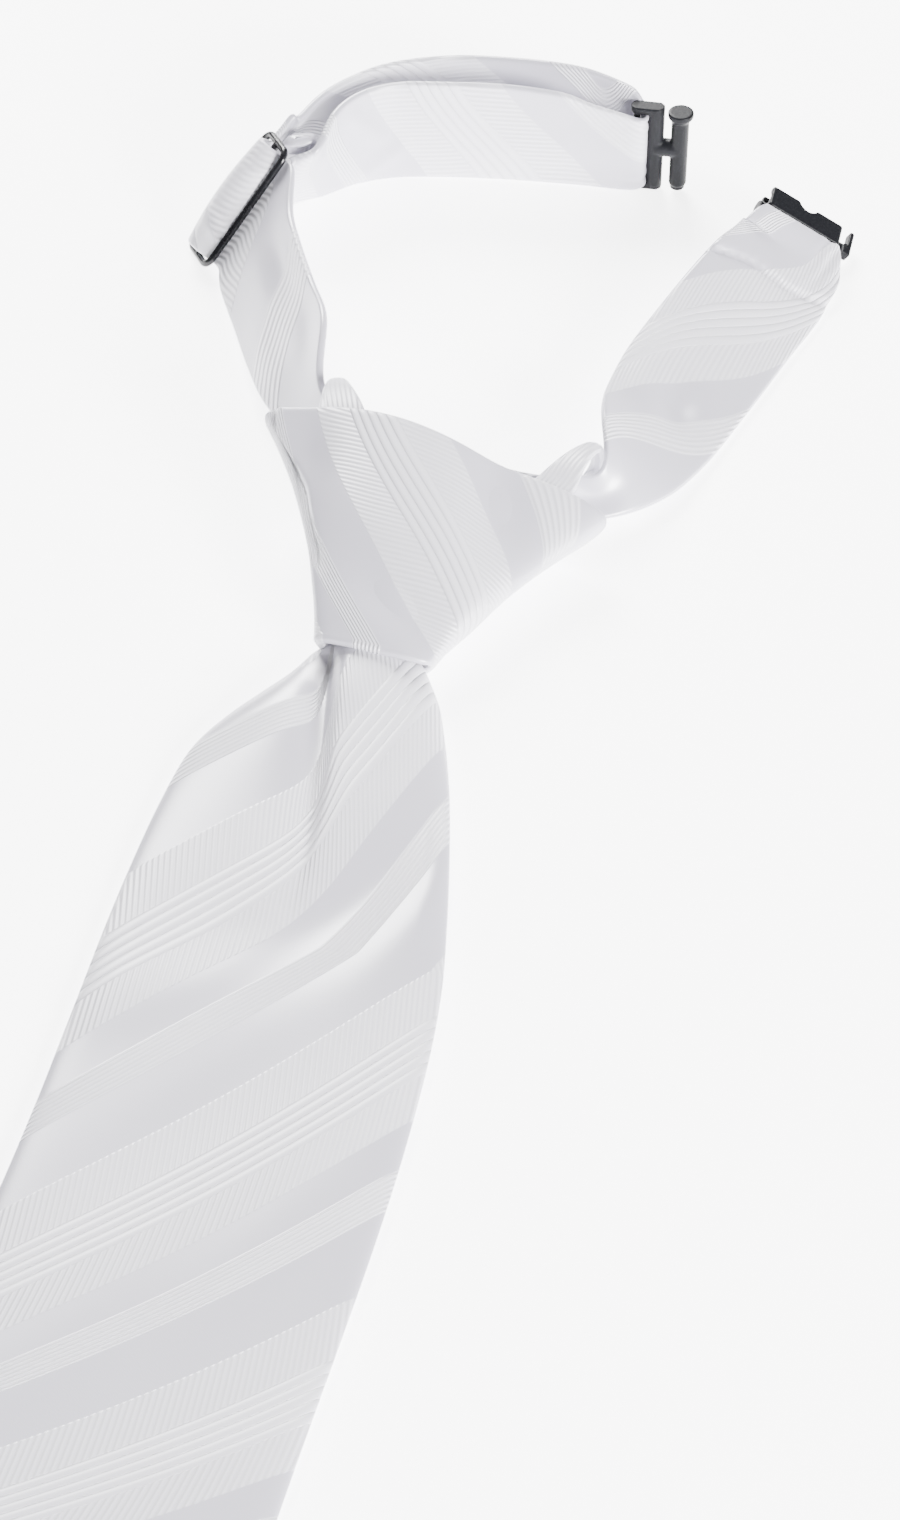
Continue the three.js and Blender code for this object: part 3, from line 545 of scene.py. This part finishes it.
# y, left edge, right edge, height of the underside, height of the middle
BLADE_ROWS = [
    (99, -13, 4.4, 4, 21.5), (90, -13.5, 4.6, 3.6, 19), (82, -14.4, 5, 3.4, 15),
    (71, -13.4, 2.8, 3.4, 11.4), (64, -13.4, 1.4, 3.4, 10), (60.4, -15.4, 1.6, 3.4, 9.8),
    (58.2, -18.6, 3.8, 3, 9.8), (55.4, -20.4, 5.9, 1.8, 9.8), (51.4, -22.6, 8.7, 0.8, 9.4),
    (46, -26.4, 11, 0, 8.8), (38, -31, 14, 0, 7.6), (28, -34.8, 17.3, 0, 6.4), (14, -36, 21.2, 0, 5.2),
    (-2, -36.1, 25.2, 0, 4.2), (-20, -35.6, 29, 0, 3.5), (-42, -34.5, 31.5, 0, 3),
    (-75, -33.2, 33, 0, 3), (-130, -33, 33.2, 0, 3), (-200, -34, 34.2, 0, 3), (-265, -36.4, 36.4, 0, 3),
    (-320, -38, 38, 0, 3),
]
BLADE_PLAN = [[39.8, 7.09, 0.24, 0.01], [57.4, 1.33, -0.26, 0], [-4.8, -1.16, 0, 0], [8.2, 0, 0, 0]]

# Soft hollows of the blade: x and y of the middle, half length, half width, turn in degrees, depth
BLADE_HOLLOWS = [
    (6, -4, 24, 8.5, 62, 2.0),
    (-15, -16, 14, 8, 50, 1.0),
    (-22, -32, 20, 9, 40, -0.7),
    (20, -2, 22, 6, 75, -0.6),
    (-4, -62, 26, 9, 60, 0.6),
    (16, -75, 30, 9, 70, -0.5),
    (-14, -110, 30, 10, 62, -0.4),
]


def fold_line(y):
    """Where the dimple's fold lies across the blade."""
    return -4.2 - 8.3 * (np.clip(y, 0, 70) / 46.6) ** 1.25


def blade_stripes(along, girth):
    """The stripes step at the dimple's fold, which hides some of the cloth."""
    y = -along
    plain = stripe_place(along, girth, BLADE_PLAN, (-50, 140), (-36, 36))
    tuck = np.clip((15 + y) / 65, 0, 1.3)
    off = girth - fold_line(y)
    softness = 1.5 + 6 * np.clip(1 - y / 30, 0, 1.5)
    beyond = 0.5 + 0.5 * np.tanh(off / softness)
    return plain + beyond * (15.7 * tuck + 1.5 * tuck**2 + 0.316 * tuck * off)


def blade(silk):
    table = np.array(BLADE_ROWS, float)
    body = smooth_rows(np.column_stack([table[:, 0], 0 * table[:, 0], 0 * table[:, 0], table[:, 1:]]), 1.6)
    body = np.delete(body, [1, 2], 1)
    tip = np.array([(-320 - 38 * t, -38 * (1 - t), 38 * (1 - t), 0, 3) for t in np.linspace(0.04, 0.985, 30)])
    rows = relaxed(np.vstack([body, tip]), 1)
    y, left, right, under, over = (rows[:, k:k + 1] for k in range(5))
    middle, half, height = (left + right) / 2, (right - left) / 2, over - under
    edge = np.minimum(3, height) / 2

    def part(s, upper):
        """Places on the upper or lower side, and how far round the blade they lie."""
        x = middle + half * s
        flat = np.sqrt(np.maximum(1 - s**8, 0))
        if not upper:
            end = np.where(s > 0, right, left)
            return x, under + edge - edge * flat, 2 * end - x
        hump = (height - 2 * edge) * (1 - s * s)
        off = x - fold_line(y)
        deep = 3.7 * np.clip((y + 10) / 60, 0, 1) ** 1.1 * (1 - 0.7 * eased(y, 46, 59))
        left_reach = 5.5 + 4 * np.clip(1 - y / 45, 0, 1)
        groove = deep * np.where(off < 0, np.exp(-((off / left_reach) ** 2)), np.exp(-((off / 1.5) ** 2)))
        puff = 0.15 * deep * np.clip((53 - y) / 10, 0, 1) * np.exp(-(((off - 5) / 4) ** 2))
        rim = np.clip((1 - abs(s)) * 6, 0, 1)
        groove = groove - puff + dented(x, y + 0 * x, BLADE_HOLLOWS) * rim
        groove = np.minimum(groove, hump + 2 * edge - 1.2)
        return x, under + edge + edge * flat + hump - groove, x

    quarter = np.sin(np.linspace(0, math.pi / 2, 25))[None, :]
    sides = [part(quarter[:, :-1], False), part(np.cos(np.linspace(0, math.pi, 121))[None, :], True)]
    sides.append(part(-quarter[:, -2::-1], False))
    x, z, girth = (np.concatenate([side[k] for side in sides], 1) for k in range(3))
    rings = np.stack([x, y + 0 * x, np.maximum(z, 0)], -1)
    along = -y + 0 * x
    weave = in_weave(blade_stripes(along, girth), along, girth, (0.63, 0.78))
    piece = cloth_mesh("blade_cloth", rings[:, :-1], weave)
    finish_cloth(piece, "blade", silk)


# Hardware

def local_piece(name, place, material, node):
    """Turns the active object, modelled in mm in its own frame, into a finished piece at its place."""
    piece = bpy.context.view_layer.objects.active
    piece.name = name
    piece.data.transform(place.matrix() @ Matrix.Scale(MM, 4))
    piece.data.materials.clear()
    piece.data.materials.append(material)
    bpy.ops.object.select_all(action="DESELECT")
    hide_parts(node)
    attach(piece, "root")
    return piece


def applied(piece, kind, **settings):
    bpy.context.view_layer.objects.active = piece
    modifier = piece.modifiers.new(kind.lower(), kind)
    for key, value in settings.items():
        setattr(modifier, key, value)
    bpy.ops.object.modifier_apply(modifier=modifier.name)


def join_all(pieces):
    bpy.ops.object.select_all(action="DESELECT")
    for piece in pieces:
        piece.select_set(True)
    bpy.context.view_layer.objects.active = pieces[0]
    bpy.ops.object.join()
    return bpy.context.view_layer.objects.active


def slider(wire):
    bpy.ops.mesh.primitive_plane_add(size=2)
    outline = bpy.context.active_object
    bpy.ops.object.mode_set(mode="EDIT")
    bpy.ops.transform.resize(value=(SLIDER_SPACING, SLIDER_LENGTH / 2, 1))
    bpy.ops.mesh.bevel(offset=2.4, segments=8, affect="VERTICES")
    bpy.ops.mesh.delete(type="ONLY_FACE")
    bpy.ops.object.mode_set(mode="OBJECT")
    bpy.ops.object.convert(target="CURVE")
    outline.data.bevel_depth = WIRE / 2
    outline.data.bevel_resolution = 6
    bpy.ops.object.convert(target="MESH")
    loop = bpy.context.active_object
    bpy.ops.mesh.primitive_cylinder_add(
        vertices=28, radius=WIRE / 2, depth=SLIDER_LENGTH, rotation=(math.pi / 2, 0, 0))
    bar = bpy.context.active_object
    bpy.ops.object.transform_apply(location=True, rotation=True, scale=True)
    body = join_all([loop, bar])
    applied(body, "REMESH", mode="VOXEL", voxel_size=0.2, use_smooth_shade=True)
    applied(body, "SMOOTH", factor=0.5, iterations=3)
    local_piece("slider_wire_loop", SLIDER_PLACE, wire, "slider")


def round_bar(radius, start, end, x, y=0.0, sides=40, axis="Z"):
    """A round bar from start to end along Z at x, y, or along X, where x is then its height."""
    turn = (0, math.pi / 2, 0) if axis == "X" else (0, 0, 0)
    middle = (start + end) / 2
    place = (middle, y, x) if axis == "X" else (x, y, middle)
    bpy.ops.mesh.primitive_cylinder_add(
        vertices=sides, radius=radius, depth=end - start, location=place, rotation=turn)
    piece = bpy.context.active_object
    bpy.ops.object.transform_apply(location=True, rotation=True, scale=True)
    return piece


def eased_block(size, place, radius, segments=3):
    bpy.ops.mesh.primitive_cube_add(size=1, location=place)
    piece = bpy.context.active_object
    bpy.ops.object.mode_set(mode="EDIT")
    bpy.ops.transform.resize(value=size)
    bpy.ops.mesh.bevel(offset=radius, segments=segments, affect="EDGES")
    bpy.ops.object.mode_set(mode="OBJECT")
    bpy.ops.object.transform_apply(location=True, rotation=True, scale=True)
    return piece


def flange(length, width, thick, middle, z):
    """A flat lip with round ends, across Z."""
    half = length / 2 - width / 2
    pieces = [eased_block((2 * half, width, thick), (middle, 0, z), 0.2)]
    for x in (middle - half, middle + half):
        pieces.append(round_bar(width / 2, z - thick / 2, z + thick / 2, x))
    return pieces


def moulded(pieces, voxel=0.22):
    """Fuses overlapping bodies into one with small fillets, as a moulding has."""
    body = join_all(pieces)
    applied(body, "REMESH", mode="VOXEL", voxel_size=voxel, use_smooth_shade=True)
    applied(body, "SMOOTH", factor=0.5, iterations=4)
    return body


def tbar_clasp(plastic):
    """Local X runs from the strap to the pin, local Y upwards."""
    half = CLASP_LENGTH / 2
    length = BAR_REACH + STRAP_BAR / 2 + 2.5
    middle = (BAR_REACH + COLUMN_RADIUS - STRAP_BAR / 2 - 0.6) / 2
    pin_x = BAR_REACH + PIN_REACH
    pieces = flange(length, FLANGE_WIDTH, FLANGE_THICK, middle, -half + FLANGE_THICK / 2)
    pieces += flange(length, FLANGE_WIDTH, FLANGE_THICK, middle, half - FLANGE_THICK / 2)
    pieces.append(round_bar(STRAP_BAR / 2, -half + 1, half - 1, 0))
    pieces.append(round_bar(COLUMN_RADIUS, -half + 1, half - 1, BAR_REACH))
    pieces.append(round_bar(CROSSBAR_RADIUS, BAR_REACH, pin_x, 0, axis="X"))
    pieces.append(round_bar(PIN_RADIUS, 1.6 - half, 18.8 - half, pin_x))
    pieces.append(round_bar(PIN_END_RADIUS, 0.4 - half, 2.2 - half, pin_x))
    bpy.ops.mesh.primitive_cone_add(
        vertices=40, radius1=PIN_RADIUS, radius2=PIN_HEAD_RADIUS, depth=1.3, location=(pin_x, 0, 19.3 - half))
    pieces.append(bpy.context.active_object)
    pieces.append(round_bar(PIN_HEAD_RADIUS, 19.9 - half, 21.1 - half, pin_x))
    body = moulded(pieces)
    body.data.transform(Matrix.Rotation(-math.pi / 2, 4, "X"))
    bpy.context.view_layer.objects.active = body
    local_piece("tbar_clasp_moulding", TBAR_PLACE, plastic, "tbar_clasp")


def channel_clasp(plastic):
    """Local X runs from the strap to the channel, local Y along the channel."""
    half = CLASP_LENGTH / 2
    outer = CHANNEL_BORE + 2 * CHANNEL_WALL
    outer_x = CHANNEL_REACH + outer / 2
    body = eased_block((outer, outer, CLASP_LENGTH - 2 * FLANGE_THICK), (CHANNEL_REACH, 0, 0), 0.5)
    bore = round_bar(CHANNEL_BORE / 2, -half, half, CHANNEL_REACH)
    slot = eased_block((outer, 2.9, CLASP_LENGTH), (outer_x, 0, 0), 0.05)
    bpy.ops.mesh.primitive_cylinder_add(
        vertices=40, radius=2.6, depth=2 * outer, location=(outer_x + 0.9, 0, 0), rotation=(math.pi / 2, 0, 0))
    notch = bpy.context.active_object
    for cutter in (bore, slot, notch):
        applied(body, "BOOLEAN", operation="DIFFERENCE", object=cutter, solver="EXACT")
        bpy.data.objects.remove(cutter)
    length = CHANNEL_REACH + 1.4
    pieces = [body]
    pieces += flange(length, FLANGE_WIDTH, FLANGE_THICK, length / 2 - 1.2, -half + FLANGE_THICK / 2)
    pieces += flange(length - 1.4, FLANGE_WIDTH, FLANGE_THICK, length / 2 - 1.9, half - FLANGE_THICK / 2)
    pieces.append(round_bar(STRAP_BAR / 2, -half + 1, half - 1, 0))
    pieces.append(eased_block((2.4, 2.4, 2.6), (CHANNEL_REACH - 1.2, 0, -half - 0.6), 0.3))
    pieces.append(eased_block((7, 2.4, 1.1), (CHANNEL_REACH + 1, 0, -half - 1.7), 0.3))
    pieces.append(eased_block((0.9, 1.6, 1), (CHANNEL_REACH + 0.4, 0, -half - 0.9), 0.15))
    whole = moulded(pieces)
    whole.data.transform(Matrix.Rotation(-math.pi / 2, 4, "X"))
    bpy.context.view_layer.objects.active = whole
    local_piece("channel_clasp_moulding", CHANNEL_PLACE, plastic, "channel_clasp")


# Materials

class Graph:
    """A short way to place shader nodes."""

    def __init__(self, name):
        self.material = bpy.data.materials.new(name)
        self.material.use_nodes = True
        self.tree = self.material.node_tree
        self.shader = self.tree.nodes["Principled BSDF"]

    def node(self, kind, **settings):
        node = self.tree.nodes.new(kind)
        for key, value in settings.items():
            setattr(node, key, value)
        return node

    def put(self, socket, value):
        if isinstance(value, bpy.types.NodeSocket):
            self.tree.links.new(value, socket)
        else:
            socket.default_value = value

    def math(self, kind, *values, clamp=False):
        node = self.node("ShaderNodeMath", operation=kind, use_clamp=clamp)
        for socket, value in zip(node.inputs, values):
            self.put(socket, value)
        return node.outputs[0]

    def band(self, place, low, high, soft):
        """1 between low and high, 0 outside, with soft edges."""
        parts = []
        for edge, start, end in ((low, 0, 1), (high, 1, 0)):
            node = self.node("ShaderNodeMapRange", interpolation_type="SMOOTHSTEP")
            values = (place, edge - soft, edge + soft, start, end)
            for socket, value in zip(node.inputs[:5], values):
                self.put(socket, value)
            parts.append(node.outputs[0])
        return self.math("MULTIPLY", *parts)

    def mix(self, factor, a, b):
        node = self.node("ShaderNodeMix", data_type="RGBA")
        self.put(node.inputs[0], factor)
        self.put(node.inputs[6], a)
        self.put(node.inputs[7], b)
        return node.outputs[2]


# The weave: a repeat in mm, where each kind of stripe lies in it as a share, and how high the ribs stand in mm
STRIPE_REPEAT = 48.0
FINE_RIBS = (0.0715, 0.1875)
STEEP_TWILL = (0.4275, 0.6025)
CORDS = (0.6025, 0.7885)
FLAT_TWILL = (0.7885, 0.9285)
CORD_HEIGHT = 0.26
STEEP_HEIGHT = 0.085
FLAT_HEIGHT = 0.11
FINE_HEIGHT = 0.16
GRAIN_HEIGHT = 0.012
SATIN_COLOUR = (0.47, 0.458, 0.52, 1)
RIB_COLOUR = (0.64, 0.63, 0.68, 1)
# Painted shade: the darker colour laid into the grooves between ribs and cords, standing in for the shade that
# falls in them.
GROOVE_SHADE_COLOUR = (0.44, 0.43, 0.48, 1)


def silk_material():
    g = Graph("striped_silk")
    place = g.node("ShaderNodeUVMap", uv_map="weave")
    parts = g.node("ShaderNodeSeparateXYZ")
    g.put(parts.inputs[0], place.outputs[0])
    over = g.math("MULTIPLY", parts.outputs[0], 1 / MM)
    lengthways = g.math("MULTIPLY", parts.outputs[1], 1 / MM)
    phase = g.math("FRACT", g.math("DIVIDE", over, STRIPE_REPEAT))
    soft = 0.004
    spans = (FINE_RIBS, STEEP_TWILL, CORDS, FLAT_TWILL)
    fine, steep, cords, flat = (g.band(phase, *span, soft) for span in spans)

    def ribs(angle, pitch):
        """Round ribs of that pitch, turned from the stripe by angle."""
        turn = math.radians(angle)
        sideways = g.math("MULTIPLY", over, math.cos(turn))
        across = g.math("SUBTRACT", sideways, g.math("MULTIPLY", lengthways, math.sin(turn)))
        wave = g.math("COSINE", g.math("MULTIPLY", across, 2 * math.pi / pitch))
        return g.math("MULTIPLY_ADD", wave, 0.5, 0.5)

    fine_height = g.math("MULTIPLY", fine, ribs(0, 0.8))
    steep_height = g.math("MULTIPLY", steep, ribs(49, 1.0))
    flat_height = g.math("MULTIPLY", flat, ribs(41, 1.0))
    start = CORDS[0] * STRIPE_REPEAT
    pitch = (CORDS[1] - CORDS[0]) * STRIPE_REPEAT / 5
    past = g.math("SUBTRACT", g.math("MULTIPLY", phase, STRIPE_REPEAT), start)
    local = g.math("MULTIPLY", past, math.pi / pitch)
    cord_height = g.math("MULTIPLY", cords, g.math("POWER", g.math("ABSOLUTE", g.math("SINE", local)), 0.55))

    grain = g.node("ShaderNodeTexNoise", noise_dimensions="2D")
    stretch = g.node("ShaderNodeMapping")
    g.put(stretch.inputs[0], place.outputs[0])
    stretch.inputs[3].default_value = (900, 5200, 1)
    g.put(grain.inputs["Vector"], stretch.outputs[0])
    grain.inputs["Scale"].default_value = 1.0
    grain.inputs["Detail"].default_value = 2

    height = g.math("MULTIPLY", cord_height, CORD_HEIGHT)
    height = g.math("MULTIPLY_ADD", steep_height, STEEP_HEIGHT, height)
    height = g.math("MULTIPLY_ADD", flat_height, FLAT_HEIGHT, height)
    height = g.math("MULTIPLY_ADD", fine_height, FINE_HEIGHT, height)
    height = g.math("MULTIPLY_ADD", grain.outputs[0], GRAIN_HEIGHT, height)
    bump = g.node("ShaderNodeBump")
    bump.inputs["Strength"].default_value = 1.0
    bump.inputs["Distance"].default_value = MM
    g.put(bump.inputs["Height"], height)
    g.put(g.shader.inputs["Normal"], bump.outputs[0])

    ribbed = g.math("ADD", g.math("ADD", fine, steep), g.math("ADD", cords, flat), clamp=True)
    raised = g.math("ADD", g.math("ADD", fine_height, steep_height), g.math("ADD", cord_height, flat_height))
    # Painted shade: where the rib height is low, in the grooves between ribs and cords, the base colour darkens
    # towards the groove shade colour.
    groove = g.math("MULTIPLY", g.math("SUBTRACT", ribbed, raised), 0.42, clamp=True)
    tone = g.mix(ribbed, SATIN_COLOUR, RIB_COLOUR)
    g.put(g.shader.inputs["Base Color"], g.mix(groove, tone, GROOVE_SHADE_COLOUR))
    g.put(g.shader.inputs["Roughness"], g.math("MULTIPLY_ADD", ribbed, 0.12, 0.31))
    g.shader.inputs["Specular IOR Level"].default_value = 1.0
    g.shader.inputs["Sheen Weight"].default_value = 0.12
    g.shader.inputs["Sheen Roughness"].default_value = 0.4
    return g.material


def speckled_material(name, scale, detail, dark, light, rough, rough_spread, grain, specular):
    """A near-black surface with a fine grain in its colour, gloss and height."""
    g = Graph(name)
    place = g.node("ShaderNodeTexCoord")
    noise = g.node("ShaderNodeTexNoise")
    g.put(noise.inputs["Vector"], place.outputs["Object"])
    noise.inputs["Scale"].default_value = scale
    noise.inputs["Detail"].default_value = detail
    g.put(g.shader.inputs["Base Color"], g.mix(noise.outputs[0], dark, light))
    g.put(g.shader.inputs["Roughness"], g.math("MULTIPLY_ADD", noise.outputs[0], rough_spread, rough))
    g.shader.inputs["Specular IOR Level"].default_value = specular
    bump = g.node("ShaderNodeBump")
    bump.inputs["Distance"].default_value = grain
    g.put(bump.inputs["Height"], noise.outputs[0])
    g.put(g.shader.inputs["Normal"], bump.outputs[0])
    return g.material


def wire_material():
    return speckled_material(
        "black_wire", 900, 2, (0.004, 0.004, 0.005, 1), (0.01, 0.01, 0.012, 1), 0.2, 0.12, 0.00003, 0.35)


def plastic_material():
    return speckled_material(
        "dark_grey_plastic", 2200, 3, (0.0035, 0.0037, 0.0048, 1), (0.009, 0.0093, 0.0112, 1),
        0.36, 0.14, 0.00004, 0.12)


# The studio

def studio():
    bpy.ops.mesh.primitive_plane_add(size=6, location=(0, 0, -0.0002))
    floor = bpy.context.active_object
    floor.name = "floor"
    g = Graph("pale_floor")
    g.shader.inputs["Base Color"].default_value = (0.93, 0.93, 0.93, 1)
    g.shader.inputs["Roughness"].default_value = 0.8
    g.shader.inputs["Emission Color"].default_value = (1, 1, 1, 1)
    g.shader.inputs["Emission Strength"].default_value = 5.0
    floor.data.materials.append(g.material)
    bpy.ops.object.select_all(action="DESELECT")
    lamps = [
        ("front_right_softbox", (1.05, -0.7, 0.46), (0, 60, 0), 0.45, 90),
        ("back_softbox", (-0.6, 1.15, 0.85), (0, 60, 0), 0.7, 84),
    ]
    for name, place, aim, size, watts in lamps:
        data = bpy.data.lights.new(name, "AREA")
        data.size = size
        data.energy = watts
        lamp = bpy.data.objects.new(name, data)
        lamp.location = place
        way = Vector(place) - Vector(aim) * MM
        lamp.rotation_euler = way.to_track_quat("Z", "Y").to_euler()
        bpy.context.scene.collection.objects.link(lamp)
    world = bpy.data.worlds.new("studio")
    world.use_nodes = True
    background = world.node_tree.nodes["Background"]
    background.inputs["Color"].default_value = (1, 1, 1, 1)
    background.inputs["Strength"].default_value = 0.12
    bpy.context.scene.world = world


set_camera()
silk = silk_material()
blade(silk)
knot_wrap(silk)
knot_turn("knot_left_turn_cloth", "knot_left_turn", LEFT_TURN_ROWS, (0.94, 0.34, 0), silk)
knot_turn("knot_right_turn_cloth", "knot_right_turn", RIGHT_TURN_ROWS, (0.97, -0.2, 0), silk)
left_strap(silk)
strap_tail(silk)
right_band(silk)
wire, plastic = wire_material(), plastic_material()
slider(wire)
tbar_clasp(plastic)
channel_clasp(plastic)
studio()
